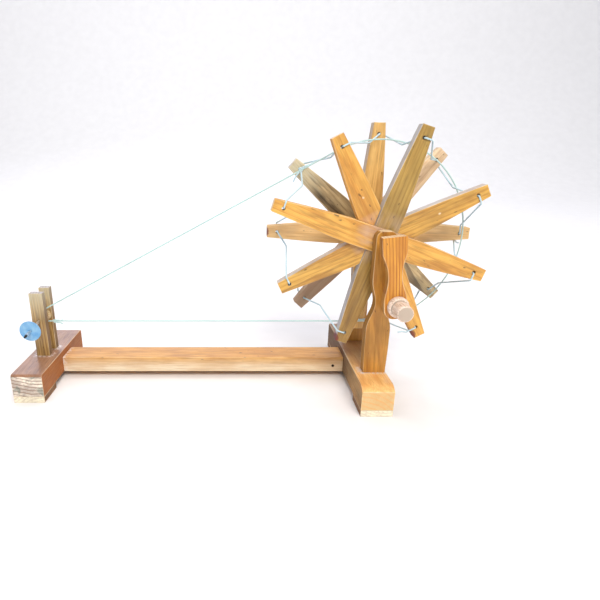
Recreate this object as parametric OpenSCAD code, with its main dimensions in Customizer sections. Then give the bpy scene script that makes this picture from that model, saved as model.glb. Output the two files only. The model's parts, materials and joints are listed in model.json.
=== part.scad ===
// Table-top spinning wheel: a laced wheel of eight crossed blades, a crank and a band-driven spindle.
// Lengths are millimetres. +X runs along the rail towards the wheel, +Y to the back and +Z up.
// The origin is the middle of the whole outline at rest, on the ground.

/* [Feet] */
// Length over both feet, along the rail
base_len = 272; // [250:1:300]
// Width of each foot, along the rail
foot_w = 22.6; // [21:0.2:26]
// Height of the feet's top face above the ground
foot_top = 22; // [19:0.5:26]
// Length of the spindle foot, front to back
left_foot_len = 106; // [98:1:120]
// Length of the wheel foot, front to back
right_foot_len = 147; // [140:1:160]
// How far the wheel foot reaches in front of the spindle foot
right_foot_lead = 22; // [15:1:26]
// Rounding of the feet's upper end edges
foot_round = 2.5; // [1:0.5:4]
// Length over which the wheel foot's front end falls away
foot_fall_len = 9; // [4:0.5:12]
// How far that end falls
foot_fall = 3.4; // [1:0.2:4]
// Height of the pads glued under the feet
pad_h = 4.8; // [3:0.2:6]
// Length of each pad, front to back
pad_len = 27.5; // [20:0.5:32]

/* [Rail] */
// Depth of the rail, front to back
rail_w = 24.2; // [20:0.2:28]
// Height of the rail
rail_h = 12.2; // [10:0.2:14]
// Middle of the rail behind the spindle foot's front face
rail_y = 60.9; // [58:0.1:64]
// Depth of the rail's tenons, front to back
rail_tenon_w = 16; // [12:0.5:18]
// Height of the rail's tenons
rail_tenon_h = 7; // [5:0.5:8]
// Length of the rail's tenons inside the feet
rail_tenon_len = 6; // [4:0.5:6]
// Shank diameter of the nails that hold the rail to the wheel foot
nail_d = 1.3; // [1:0.1:1.6]
// Head diameter of those nails
nail_head_d = 2.2; // [2:0.1:2.8]
// Thickness of a nail's head
nail_head_t = 0.5; // [0.3:0.1:0.8]
// Length of a nail under its head
nail_len = 18; // [15:1:20]
// Distance from the wheel foot at which a nail enters the rail
nail_back = 8.1; // [7:0.1:9]

/* [Spindle posts] */
// Width of the front post, along the rail
post_w = 10.2; // [9:0.2:12]
// Thickness of both posts, front to back
post_t = 6.5; // [5.5:0.5:8]
// Height of the front post's top above the ground
front_post_top = 72.2; // [68:0.1:80]
// Height of the rear post's top above the ground
rear_post_top = 72.8; // [68:0.1:80]
// Width of the rear post, flush with the front one on the wheel's side
rear_post_w = 8.2; // [7.8:0.1:10]
// Front post's front face behind the spindle foot's front face
front_post_y = 38.9; // [36:0.1:41]
// Free space between the two posts
post_gap = 9.6; // [9:0.1:12]
// Width of the posts' tenons
post_tenon_w = 7; // [5:0.5:8]
// Thickness of the posts' tenons
post_tenon_t = 4; // [3:0.5:5]
// Depth of the posts' tenons in the foot
post_tenon_len = 12; // [8:0.5:14]

/* [Uprights] */
// Thickness of both uprights, front to back
upright_t = 8.7; // [8:0.1:10]
// Front upright's front face behind the spindle foot's front face
front_upright_y = 4.9; // [4:0.1:6]
// How far the uprights stand off the middle of the wheel foot
upright_shift = 2.4; // [0:0.1:2.8]
// Width of an upright where it meets the foot
upright_root_w = 16; // [14:0.2:17]
// Width of an upright's body
upright_body_w = 17.2; // [16:0.2:18]
// Width of an upright's waist
upright_waist_w = 7.4; // [6:0.2:10]
// Width of an upright's head
upright_head_w = 13.8; // [13:0.2:17]
// Height above the ground at which the root has grown to the body
upright_body_z = 40; // [36:1:44]
// Height at which the body starts to narrow
upright_shoulder_z = 55; // [50:1:60]
// Height of the waist
upright_waist_z = 74; // [70:1:78]
// Height at which the head reaches its full width
upright_head_z = 90; // [86:1:94]
// Distance from the axle up to the top of an upright
upright_over_axle = 8.5; // [8:0.5:13]
// Rounding of an upright's top corners
upright_round = 4.5; // [2:0.5:5.5]
// Width of an upright's tenon
upright_tenon_w = 11; // [8:0.5:12]
// Thickness of an upright's tenon
upright_tenon_t = 5.5; // [4:0.5:6.5]
// Depth of an upright's tenon in the foot
upright_tenon_len = 13; // [8:0.5:15]

/* [Wheel] */
// Height of the wheel's axle above the ground
axle_z = 114.5; // [112:0.5:120]
// Diameter of the axle
axle_d = 6; // [5:0.2:7]
// Length of the axle behind the rear upright
axle_tail = 4; // [2:0.5:8]
// Length of a blade from tip to tip
blade_len = 153.6; // [140:0.2:158]
// How much further the front set's first blade reaches at its left end
front_1_longer = 2.6; // [0:0.2:4]
// How far the front set's fourth blade sits off the axle, towards its lower end
front_4_off = 1.3; // [0:0.1:2]
// Thickness of a blade
blade_t = 9; // [8:0.2:10]
// How far each blade of a set lies behind the one in front of it
blade_step = 1.7; // [1.4:0.1:2]
// Width of a blade at the hub
blade_hub_w = 16.4; // [14:0.2:18]
// Width of a blade at its tips
blade_tip_w = 8.4; // [7:0.2:10]
// Distance from the axle over which a blade keeps its full width
blade_full = 24; // [18:1:34]
// Turn of the front set's first blade, the foremost, in degrees
front_1_angle = -17.9; // [-19:0.1:-17]
// Turn of the front set's second blade, in degrees
front_2_angle = 72.4; // [71.5:0.1:73.5]
// Turn of the front set's third blade, in degrees
front_3_angle = 25.9; // [25:0.1:27]
// Turn of the front set's fourth blade, in degrees
front_4_angle = 117; // [116:0.1:118]
// Turn of the rear set's first blade, the one nearest the front, in degrees
rear_1_angle = -0.5; // [-1.5:0.1:0.5]
// Turn of the rear set's second blade, in degrees
rear_2_angle = 88.5; // [88:0.1:89.5]
// Turn of the rear set's third blade, in degrees
rear_3_angle = 48.5; // [47.5:0.1:49]
// Turn of the rear set's fourth blade, in degrees
rear_4_angle = 139.8; // [139:0.1:141]
// Length of the hub between the front and the rear blades
hub_len = 29; // [27:0.2:31]
// Diameter of the hub's ends
hub_d = 22; // [18:0.5:26]
// Diameter of the hub's hollowed middle
hub_waist_d = 16; // [14:0.5:18]
// Running gap between a washer and the upright beside it
wheel_gap = 0.4; // [0.3:0.1:0.6]
// Thickness of the washers between wheel and uprights
washer_t = 1.6; // [1.5:0.1:3]
// Diameter of those washers
washer_d = 12; // [10:0.5:14]

/* [Cords] */
// Diameter of the lacing cord and of the drive band
cord_d = 1.3; // [0.8:0.1:1.3]
// Diameter of the lacing holes in the blades' tips
lace_hole_d = 2.6; // [2.2:0.1:3]
// Distance of a lacing hole from its blade's tip
lace_inset = 7.6; // [6:0.2:9]
// How far the drive band presses the lacing in, midway between the two sets of blades
lace_press = 5.6; // [4:0.1:6.5]
// Diameter of the knot that closes the lacing
lace_knot_d = 3.6; // [3:0.1:4]
// Diameter of the knot that closes the drive band
band_knot_d = 2.6; // [2:0.1:3]
// Free distance of the band's knot from the posts
band_knot_out = 3.4; // [3:0.1:6]

/* [Crank] */
// Distance from the axle to the grip
crank_r = 38.9; // [36:0.1:42]
// Turn of the grip about the axle from the rail's direction, in degrees
crank_angle = -79.5; // [-90:0.5:-70]
// Turn of the arm's middle line, in degrees
arm_angle = -83.6; // [-90:0.2:-76]
// How far that line passes beside the axle, towards the right
arm_beside = 1.6; // [0:0.1:2]
// Thickness of the crank arm
arm_t = 7.5; // [7:0.1:9]
// Space between the crank arm and the front upright
arm_standoff = 8.4; // [6:0.1:10]
// Width of the arm at the axle
arm_head_w = 16.2; // [14:0.2:17]
// Width of the arm's waist
arm_waist_w = 9.4; // [9:0.2:12]
// Width of the arm at the grip
arm_end_w = 15.6; // [12:0.2:17]
// Length of the arm past the axle
arm_head_over = 7; // [5:0.5:9]
// Length of the arm past the grip
arm_end_over = 8.6; // [8:0.2:11]
// Rounding of the arm's corners at the axle
arm_round = 1.2; // [1:0.1:3]
// Rounding of the arm's end at the grip
arm_end_round = 6.6; // [1:0.1:6.6]
// Diameter of the grip's flange
grip_flange_d = 14.2; // [12:0.2:15]
// Thickness of the grip's flange
grip_flange_t = 5; // [4:0.2:6]
// Rounding of the flange's edge
grip_flange_round = 2.4; // [0.6:0.1:2.6]
// Diameter of the neck between flange and grip
grip_neck_d = 9.2; // [7:0.2:9.6]
// Length of that neck
grip_neck_len = 1.1; // [1:0.1:2.4]
// Diameter of the grip
grip_d = 10.8; // [10:0.2:12]
// Length of the grip from the arm's face
grip_len = 19; // [16:0.5:24]
// Rounding of the grip's free end
grip_round = 1.2; // [0.6:0.1:2]
// Diameter of the grip's tenon
grip_tenon_d = 6; // [5:0.2:7]
// Depth of the grip's tenon and of the axle in the arm
arm_socket = 5; // [4:0.2:6]

/* [Spindle] */
// Diameter of the steel spindle
spindle_d = 2; // [1.8:0.1:2.4]
// Height of the spindle midway between the posts
spindle_z = 51.4; // [50:0.1:54]
// Forward droop of the spindle, in degrees
spindle_tilt = 5; // [0:0.5:6]
// Distance of the disc in front of the front post
disc_out = 19.4; // [14:0.2:20]
// Diameter of the disc
disc_d = 15.4; // [13:0.2:17]
// Thickness of the disc
disc_t = 0.8; // [0.6:0.1:1.2]
// Length of the spindle in front of the disc
tip_out = 12.4; // [10:0.2:16]
// Length of the spindle's pointed end
point_len = 3; // [2:0.5:5]
// Diameter of the point's blunt tip
point_tip_d = 0.5; // [0.3:0.1:1]
// Length of the spindle behind the rear post
spindle_tail = 6; // [4:0.5:9]
// Diameter of the whorl's barrel
whorl_d = 6; // [5:0.2:9]
// Diameter of the whorl's rims
whorl_rim_d = 10; // [9.6:0.2:13]
// Thickness of each of the whorl's rims
whorl_rim_t = 1.4; // [1:0.1:1.8]
// Play between the whorl and each post
whorl_play = 0.9; // [0.8:0.1:1.2]

/* [Fits] */
// Radial running clearance of the axle and the spindle
running_fit = 0.08; // [0.04:0.01:0.1]
// Gap left for glue round tenons, dowels and lap joints
glue_fit = 0.05; // [0.03:0.01:0.1]
// Gap between a cord and the wood that it passes
cord_fit = 0.15; // [0.1:0.05:0.2]
// Gap between the drive band and what it drives
band_fit = 0.5; // [0.3:0.05:0.6]

/* [Hidden] */

// Round bodies and bores
$fn = 64;
// Overrun of every cut
cut = 1;
// Slant of the nails from the rail's direction, in degrees
nail_slant = 35;
// Share of the foot's underside height at which the nails enter the rail
nail_height_share = 0.4;
// Sides of the cords' tubes
cord_sides = 8;
// Steps in each eased stretch of an outline
ease_steps = 8;
// Steps along each tapering half of a blade
blade_steps = 7;
// Bend of a blade's taper: 1 is straight
blade_bend = 1.2;
// Steps of the band's arc on the wheel and on the whorl
band_wheel_steps = 40;
band_whorl_steps = 12;
// Shares of the crank's length at which the arm's width changes
arm_shares = [0.1, 0.47, 0.5, 0.95];
// Share of the hub's length that its end collars take
hub_collar_share = 0.16;

// Layout along the rail, from the spindle foot's outer face
left_foot_x = 0;
right_foot_x = base_len - foot_w;
post_x = left_foot_x + foot_w / 2;
post_right_x = post_x + post_w / 2;
axle_x = right_foot_x + foot_w / 2 + upright_shift;

// Layout front to back, from the spindle foot's front face
right_foot_y = -right_foot_lead;
rear_post_y = front_post_y + post_t + post_gap;
spindle_y = front_post_y + post_t + post_gap / 2;
washer_front_y = front_upright_y + upright_t + wheel_gap;
set_depth = blade_t + 3 * blade_step;
front_set_y = washer_front_y + washer_t;
hub_y = front_set_y + set_depth;
rear_set_y = hub_y + hub_len;
washer_rear_y = rear_set_y + set_depth;
rear_upright_y = washer_rear_y + washer_t + wheel_gap;
arm_front_y = front_upright_y - arm_standoff - arm_t;

// Heights
body_h = foot_top - pad_h;
upright_top = axle_z + upright_over_axle;
rail_tenon_z = pad_h + (rail_h - rail_tenon_h) / 2;

// Lacing and drive band
cord_lift = cord_d / 2 + cord_fit;
lace_aside = (lace_hole_d - cord_d) / 2 - cord_fit;
lace_pressed_r = blade_len / 2 - lace_inset - lace_press;
band_y = hub_y + hub_len / 2;
band_wheel_r = lace_pressed_r + cord_d + band_fit;
band_whorl_r = whorl_d / 2 + band_fit + cord_d / 2;
band_dx = axle_x - post_x;
band_dz = axle_z - spindle_z;
band_lie = atan2(band_dz, band_dx);
band_flare = asin((band_wheel_r - band_whorl_r) / norm([band_dx, band_dz]));
band_high = band_lie + 90 + band_flare;
band_low = band_lie - 90 - band_flare;

// Reach of every blade from the axle, at its turned end and at the opposite one
blade_half_len = blade_len / 2;
front_reaches = [
  [blade_half_len, blade_half_len + front_1_longer], [blade_half_len, blade_half_len],
  [blade_half_len, blade_half_len], [blade_half_len - front_4_off, blade_half_len + front_4_off]
];
rear_reaches = [for (i = [0:3]) [blade_half_len, blade_half_len]];

// Corners of every blade at rest, which set how far the wheel reaches to the right
front_turns = [front_1_angle, front_2_angle, front_3_angle, front_4_angle];
rear_turns = [rear_1_angle, rear_2_angle, rear_3_angle, rear_4_angle];
all_turns = concat(front_turns, rear_turns);
all_reaches = concat(front_reaches, rear_reaches);
wheel_reach = max([
  for (i = [0:7], end = [0, 1], side = [-1, 1])
    all_reaches[i][end] * cos(all_turns[i] + 180 * end) + side * blade_tip_w / 2 * sin(all_turns[i])
]);

// Origin: middle of the outline's box
origin_x = (left_foot_x + axle_x + wheel_reach) / 2;
origin_y = (arm_front_y - grip_len + right_foot_y + right_foot_len) / 2;

// Width shares and shapes
function ease(from, to, t) = from + (to - from) * (1 - cos(180 * t)) / 2;
function steps(from, to, count) = [for (i = [0:count]) from + (to - from) * i / count];
function mirrored(rows) = concat(
  [for (row = rows) [row[0], row[1]]],
  [for (i = [len(rows) - 1:-1:0]) [-rows[i][0], rows[i][1]]]
);

// Half width at a distance from the axle of a blade end that reaches that far
function blade_half(r, reach) =
  let (share = max(0, (r - blade_full) / (reach - blade_full)))
  (blade_hub_w - (blade_hub_w - blade_tip_w) * pow(share, blade_bend)) / 2;

// Outline of a blade that lies along X, with its two reaches
function blade_end(reach) = [for (r = steps(blade_full, reach, blade_steps)) [r, blade_half(r, reach)]];
function blade_rows(reaches) =
  let (left = blade_end(reaches[1]))
  concat([for (i = [len(left) - 1:-1:0]) [-left[i][0], left[i][1]]], blade_end(reaches[0]));
function blade_outline(reaches) =
  let (rows = blade_rows(reaches))
  concat(rows, [for (i = [len(rows) - 1:-1:0]) [rows[i][0], -rows[i][1]]]);

// Half width and height of an upright at each step, from the foot to the head
function upright_rows() = concat(
  [[upright_root_w / 2, foot_top], [upright_body_w / 2, upright_body_z]],
  [for (t = steps(0, 1, ease_steps)) [
    ease(upright_body_w, upright_waist_w, t) / 2,
    upright_shoulder_z + (upright_waist_z - upright_shoulder_z) * t
  ]],
  [for (t = steps(0, 1, ease_steps)) if (t > 0) [
    ease(upright_waist_w, upright_head_w, t) / 2,
    upright_waist_z + (upright_head_z - upright_waist_z) * t
  ]],
  [for (turn = steps(0, 90, ease_steps)) [
    upright_head_w / 2 - upright_round * (1 - cos(turn)),
    upright_top - upright_round * (1 - sin(turn))
  ]]
);

// Half width and distance from the axle of the crank arm at each step
function arm_rows() =
  let (at = [for (share = arm_shares) share * crank_r], end = crank_r + arm_end_over)
  concat(
    [for (turn = steps(90, 0, ease_steps)) [
      arm_head_w / 2 - arm_round * (1 - cos(turn)),
      -arm_head_over + arm_round * (1 - sin(turn))
    ]],
    [for (t = steps(0, 1, ease_steps)) [
      (arm_waist_w + (arm_head_w - arm_waist_w) * (1 - sin(90 * t))) / 2, at[0] + (at[1] - at[0]) * t
    ]],
    [for (t = steps(0, 1, ease_steps)) [ease(arm_waist_w, arm_end_w, t) / 2, at[2] + (at[3] - at[2]) * t]],
    [for (turn = steps(0, 90, ease_steps)) [
      arm_end_w / 2 - arm_end_round * (1 - cos(turn)),
      end - arm_end_round * (1 - sin(turn))
    ]]
  );

// Tubes swept along points: each ring lies in the mitre of the two stretches that meet there
function unit(v) = v / norm(v);
function carried(u, from, to) = u - (to * u) / (1 + from * to) * (from + to);
function stretch_dirs(path, closed) =
  [for (i = [0:len(path) - (closed ? 1 : 2)]) unit(path[(i + 1) % len(path)] - path[i])];
function side_dirs(dirs, first) =
  [for (i = 0, u = first; i < len(dirs);
    u = i + 1 < len(dirs) ? carried(u, dirs[i], dirs[i + 1]) : u, i = i + 1) u];
function ring(centre, dir, mitre, side, radius) =
  [for (i = [0:cord_sides - 1])
    let (turn = 360 * i / cord_sides, w = radius * (cos(turn) * side + sin(turn) * cross(dir, side)))
    centre + w - dir * (w * mitre) / (dir * mitre)];
function tube_faces(rings, closed) = concat(
  [for (i = [0:rings - (closed ? 1 : 2)], j = [0:cord_sides - 1], half = [0, 1])
    let (
      near = i * cord_sides, far = ((i + 1) % rings) * cord_sides, k = (j + 1) % cord_sides
    )
    half == 0 ? [near + j, near + k, far + k] : [near + j, far + k, far + j]],
  closed ? [] : [for (j = [1:cord_sides - 2]) [0, j + 1, j]],
  closed ? [] : [for (j = [1:cord_sides - 2])
    let (last = (rings - 1) * cord_sides) [last, last + j, last + j + 1]]
);

module tube(path, diameter, first_side, closed) {
  dirs = stretch_dirs(path, closed);
  sides = side_dirs(dirs, first_side);
  rings = [for (i = [0:len(path) - 1])
    let (
      before = closed ? (i + len(path) - 1) % len(path) : max(0, i - 1),
      after = closed ? i : min(i, len(dirs) - 1)
    )
    ring(path[i], dirs[before], unit(dirs[before] + dirs[after]), sides[before], diameter / 2)];
  polyhedron(points = [for (r = rings) each r], faces = tube_faces(len(path), closed));
}

// Round piece along +Y from the local origin
module along_y(length, diameter) {
  rotate([-90, 0, 0]) cylinder(h = length, d = diameter);
}

// Places what is drawn flat, in X and Z, as a plate from y to y + thickness
module plate(x, y, z, thickness) {
  translate([x, y + thickness, z]) rotate([90, 0, 0]) linear_extrude(thickness) children();
}

// Everything is laid out from the spindle foot's front left corner, then set about the origin
module set_down() {
  translate([-origin_x, -origin_y, 0]) children();
}

// Frame of the spindle: +Y runs back along it from the middle of the post gap
module on_spindle() {
  translate([post_x, spindle_y, spindle_z]) rotate([spindle_tilt, 0, 0]) children();
}

// Arc at a foot's end, from its end face up to its top: it falls that far over that length
function foot_end(run, fall) =
  let (radius = (run * run + fall * fall) / (2 * fall))
  [for (turn = steps(asin(run / radius), 0, ease_steps))
    [run - radius * sin(turn), body_h - radius * (1 - cos(turn))]];

// A foot's block with rounded upper end edges, with its pads' height left free below
module foot_block(x, y, length, run, fall) {
  front = foot_end(run, fall);
  back = foot_end(foot_round, foot_round);
  translate([x, y, pad_h]) rotate([90, 0, 90]) linear_extrude(foot_w)
    polygon(concat(
      [[0, 0]], front, [for (i = [len(back) - 1:-1:0]) [length - back[i][0], back[i][1]]], [[length, 0]]
    ));
}

module pad(x, y) {
  translate([x, y, 0]) cube([foot_w, pad_len, pad_h]);
}

// A square tenon that hangs below the local origin, centred on it
module tenon(w, t, length, extra) {
  translate([-w / 2 - extra, -t / 2 - extra, -length - extra])
    cube([w + 2 * extra, t + 2 * extra, length + extra]);
}

module rail_tenons(extra) {
  for (x = [foot_w - rail_tenon_len - extra, right_foot_x])
    translate([x, rail_y - rail_tenon_w / 2 - extra, rail_tenon_z - extra])
      cube([rail_tenon_len + extra, rail_tenon_w + 2 * extra, rail_tenon_h + 2 * extra]);
}

// The two nails, one through each face of the rail, slanting into the wheel foot
module nails(extra) {
  for (side = [-1, 1])
    translate([right_foot_x - nail_back, rail_y + side * rail_w / 2, pad_h + rail_h * nail_height_share])
      rotate([0, 0, -side * nail_slant]) rotate([0, 90, 0]) {
        translate([0, 0, -nail_d / 2]) cylinder(h = nail_len, d = nail_d + 2 * extra);
      }
}

module nail_heads(extra) {
  for (side = [-1, 1])
    translate([right_foot_x - nail_back, rail_y + side * (rail_w / 2 - nail_head_t - extra),
      pad_h + rail_h * nail_height_share])
      rotate([side * -90, 0, 0]) cylinder(h = nail_head_t + extra, d = nail_head_d + 2 * extra);
}

module left_foot() {
  color("peru") set_down() difference() {
    foot_block(left_foot_x, 0, left_foot_len, foot_round, foot_round);
    rail_tenons(glue_fit);
    post_tenon(front_post_y, post_w, glue_fit);
    post_tenon(rear_post_y, rear_post_w, glue_fit);
  }
}

module right_foot() {
  color("peru") set_down() difference() {
    foot_block(right_foot_x, right_foot_y, right_foot_len, foot_fall_len, foot_fall);
    rail_tenons(glue_fit);
    nails(glue_fit);
    for (y = [front_upright_y, rear_upright_y])
      translate([axle_x, y + upright_t / 2, foot_top])
        tenon(upright_tenon_w, upright_tenon_t, upright_tenon_len, glue_fit);
  }
}

module left_front_pad() {
  color("burlywood") set_down() pad(left_foot_x, 0);
}

module left_rear_pad() {
  color("burlywood") set_down() pad(left_foot_x, left_foot_len - pad_len);
}

module right_front_pad() {
  color("burlywood") set_down() pad(right_foot_x, right_foot_y);
}

module right_rear_pad() {
  color("burlywood") set_down() pad(right_foot_x, right_foot_y + right_foot_len - pad_len);
}

module rail() {
  color("goldenrod") set_down() difference() {
    union() {
      translate([foot_w, rail_y - rail_w / 2, pad_h]) cube([right_foot_x - foot_w, rail_w, rail_h]);
      rail_tenons(0);
    }
    nails(glue_fit);
    nail_heads(glue_fit);
  }
}

module rail_nails() {
  color("dimgray") set_down() {
    nails(0);
    nail_heads(0);
  }
}

// Tenon below the middle of a post of that width
module post_tenon(y, width, extra) {
  translate([post_right_x - width / 2, y + post_t / 2, foot_top])
    tenon(post_tenon_w, post_tenon_t, post_tenon_len, extra);
}

module post(y, width, top) {
  difference() {
    union() {
      translate([post_right_x - width, y, foot_top]) cube([width, post_t, top - foot_top]);
      post_tenon(y, width, 0);
    }
    on_spindle() translate([0, -post_gap - post_t, 0])
      along_y(2 * (post_gap + post_t), spindle_d + 2 * running_fit);
  }
}

module front_post() {
  color("burlywood") set_down() post(front_post_y, post_w, front_post_top);
}

module rear_post() {
  color("burlywood") set_down() post(rear_post_y, rear_post_w, rear_post_top);
}

module upright(y) {
  difference() {
    union() {
      plate(axle_x, y, 0, upright_t) polygon(mirrored(upright_rows()));
      translate([axle_x, y + upright_t / 2, foot_top])
        tenon(upright_tenon_w, upright_tenon_t, upright_tenon_len, 0);
    }
    translate([axle_x, y - cut, axle_z]) along_y(upright_t + 2 * cut, axle_d + 2 * running_fit);
  }
}

module front_upright() {
  color("peru") set_down() upright(front_upright_y);
}

module rear_upright() {
  color("peru") set_down() upright(rear_upright_y);
}

// Round bar through the crosses, the hub and both uprights, blind in the crank arm
module axle() {
  color("burlywood") set_down()
    translate([axle_x, front_upright_y - arm_standoff - arm_socket, axle_z])
      along_y(arm_standoff + arm_socket + rear_upright_y + upright_t + axle_tail - front_upright_y, axle_d);
}

// Spool between the front and the rear crosses
module hub() {
  collar = hub_len * hub_collar_share;
  color("peru") set_down() translate([axle_x, hub_y, axle_z]) rotate([-90, 0, 0]) rotate_extrude()
    polygon([
      [axle_d / 2 + glue_fit, 0], [hub_d / 2, 0], [hub_d / 2, collar], [hub_waist_d / 2, 2 * collar],
      [hub_waist_d / 2, hub_len - 2 * collar], [hub_d / 2, hub_len - collar], [hub_d / 2, hub_len],
      [axle_d / 2 + glue_fit, hub_len]
    ]);
}

module washer(y) {
  translate([axle_x, y, axle_z]) difference() {
    along_y(washer_t, washer_d);
    translate([0, -cut, 0]) along_y(washer_t + 2 * cut, axle_d + 2 * glue_fit);
  }
}

module front_washer() {
  color("saddlebrown") set_down() washer(washer_front_y);
}

module rear_washer() {
  color("saddlebrown") set_down() washer(washer_rear_y);
}

// One of a set of four blades. Where two cross, each keeps its own side of the depth midway between them
module blade(set_y, turns, reaches, i) {
  translate([axle_x, set_y + i * blade_step + blade_t, axle_z]) rotate([90, 0, 0])
    rotate([0, 0, turns[i]]) difference() {
      linear_extrude(blade_t) polygon(blade_outline(reaches[i]));
      for (j = [0:3]) if (j != i) lap(turns[j] - turns[i], j - i);
      translate([0, 0, -cut]) cylinder(h = blade_t + 2 * cut, d = axle_d + 2 * glue_fit);
      for (x = [reaches[i][0] - lace_inset, lace_inset - reaches[i][1]])
        translate([x, 0, -cut]) cylinder(h = blade_t + 2 * cut, d = lace_hole_d);
    }
}

// What a blade loses to a partner that is turned from it and lies behind (positive) or in front of it
module lap(turn, behind) {
  meet = (blade_t - behind * blade_step) / 2;
  low = behind > 0 ? -cut : meet - glue_fit / 2;
  high = behind > 0 ? meet + glue_fit / 2 : blade_t + cut;
  rotate([0, 0, turn]) translate([-blade_len / 2, -blade_hub_w / 2 - glue_fit, low])
    cube([blade_len, blade_hub_w + 2 * glue_fit, high - low]);
}

module front_blade_1() {
  color("goldenrod") set_down() blade(front_set_y, front_turns, front_reaches, 0);
}

module front_blade_2() {
  color("goldenrod") set_down() blade(front_set_y, front_turns, front_reaches, 1);
}

module front_blade_3() {
  color("darkgoldenrod") set_down() blade(front_set_y, front_turns, front_reaches, 2);
}

module front_blade_4() {
  color("darkgoldenrod") set_down() blade(front_set_y, front_turns, front_reaches, 3);
}

module rear_blade_1() {
  color("tan") set_down() blade(rear_set_y, rear_turns, rear_reaches, 0);
}

module rear_blade_2() {
  color("tan") set_down() blade(rear_set_y, rear_turns, rear_reaches, 1);
}

module rear_blade_3() {
  color("burlywood") set_down() blade(rear_set_y, rear_turns, rear_reaches, 2);
}

module rear_blade_4() {
  color("burlywood") set_down() blade(rear_set_y, rear_turns, rear_reaches, 3);
}

// A point of the wheel at a distance r and an angle, moved clockwise by shift, at depth y
function wheel_point(r, angle, shift, y) = [
  axle_x + r * cos(angle) + shift * sin(angle), y, axle_z + r * sin(angle) - shift * cos(angle)
];

// The lacing meets a rear and a front blade in turn. Each entry: is it a rear blade, and which of its set
lace_order = [
  [true, 3], [false, 3], [true, 1], [false, 1], [true, 2], [false, 2], [true, 0], [false, 0]
];

// Depth of a blade's inner or outer face, with the cord lying on it
function lace_y(rear, i, outer) =
  (rear ? rear_set_y : front_set_y) + i * blade_step
    + (rear == outer ? blade_t + cord_lift : -cord_lift);

// A blade end that the lacing meets: the hole's inner and outer mouth, then the blade's edge.
// The cord lies against the hole's clockwise side
function lace_station(k) =
  let (
    rear = lace_order[k % 8][0], i = lace_order[k % 8][1],
    angle = (rear ? rear_turns[i] : front_turns[i]) - 180 * floor(k / 8),
    reach = (rear ? rear_reaches[i] : front_reaches[i])[floor(k / 8) % 2],
    r = reach - lace_inset
  )
  [
    wheel_point(r, angle, lace_aside, lace_y(rear, i, false)),
    wheel_point(r, angle, lace_aside, lace_y(rear, i, true)),
    wheel_point(r, angle, blade_half(r, reach) + cord_lift, lace_y(rear, i, true))
  ];

// Where the drive band presses in the stretch between two points
function pressed(from, to) =
  let (
    at = from + (to - from) * (band_y - from[1]) / (to[1] - from[1]),
    out = unit([at[0] - axle_x, 0, at[2] - axle_z])
  )
  [axle_x, band_y, axle_z] + lace_pressed_r * out;

lace_start = lace_station(0)[0];
lace_points = [
  for (k = [0:15])
    each concat(lace_station(k), [pressed(lace_station(k)[2], lace_station(k + 1)[0])])
];
lace_end = lace_start + lace_knot_d / 2 * unit(lace_points[len(lace_points) - 1] - lace_start);

// One cord laced clockwise: through a blade's hole, over its edge and across to the next blade
module rim_cord() {
  color("lightcyan") set_down() tube(concat(lace_points, [lace_end]), cord_d, [1, 0, 0], false);
}

module rim_cord_knot() {
  color("lightcyan") set_down()
    translate(lace_start + [0, -lace_knot_d / 2 + cord_lift, 0]) sphere(d = lace_knot_d);
}

// Outline of the drive band: round the wheel, then back round the whorl
function arc(x, y, z, r, from, to, count) =
  [for (turn = steps(from, to, count)) [x + r * cos(turn), y, z + r * sin(turn)]];
band_points = concat(
  arc(axle_x, band_y, axle_z, band_wheel_r, band_high, band_low, band_wheel_steps),
  arc(post_x, spindle_y, spindle_z, band_whorl_r, band_low, band_high - 360, band_whorl_steps)
);

module drive_band() {
  color("lightcyan") set_down() tube(band_points, cord_d, [0, 1, 0], true);
}

// Knot on the band's lower run, just outside the posts
module drive_band_knot() {
  out = post_w / 2 + band_knot_out;
  dip = band_low + 90;
  color("lightcyan") set_down()
    translate([post_x + out, spindle_y, spindle_z - band_whorl_r / cos(dip) + out * tan(dip)])
      sphere(d = band_knot_d);
}

// Arm that is glued to the axle's end, with the grip's tenon in its other end
module crank_arm() {
  color("orange") set_down() difference() {
    translate([axle_x, arm_front_y + arm_t, axle_z]) rotate([90, 0, 0]) rotate([0, 0, arm_angle - 90])
      translate([-arm_beside, 0, 0]) linear_extrude(arm_t) polygon(mirrored(arm_rows()));
    translate([axle_x, arm_front_y + arm_t - arm_socket - glue_fit, axle_z])
      along_y(arm_socket + glue_fit + cut, axle_d + 2 * glue_fit);
    translate(wheel_point(crank_r, crank_angle, 0, arm_front_y - cut))
      along_y(arm_socket + glue_fit + cut, grip_tenon_d + 2 * glue_fit);
  }
}

// Turned grip: tenon, flange, neck and a knob with an eased end
module crank_grip() {
  neck = grip_flange_t + grip_neck_len;
  color("bisque") set_down() translate(wheel_point(crank_r, crank_angle, 0, arm_front_y))
    rotate([90, 0, 0]) rotate_extrude()
      polygon(concat(
        [
          [0, -arm_socket], [grip_tenon_d / 2, -arm_socket], [grip_tenon_d / 2, 0],
          [grip_flange_d / 2, 0]
        ],
        [for (turn = steps(0, 90, ease_steps)) [
          grip_flange_d / 2 - grip_flange_round * (1 - cos(turn)),
          grip_flange_t - grip_flange_round * (1 - sin(turn))
        ]],
        [
          [grip_neck_d / 2, grip_flange_t], [grip_neck_d / 2, neck], [grip_d / 2, neck]
        ],
        [for (turn = steps(0, 90, ease_steps)) [
          grip_d / 2 - grip_round * (1 - cos(turn)), grip_len - grip_round * (1 - sin(turn))
        ]],
        [[0, grip_len]]
      ));
}

// Distances along the spindle from the middle of the post gap
spindle_front = post_gap / 2 + post_t + disc_out;
spindle_back = post_gap / 2 + post_t + spindle_tail;

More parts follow.
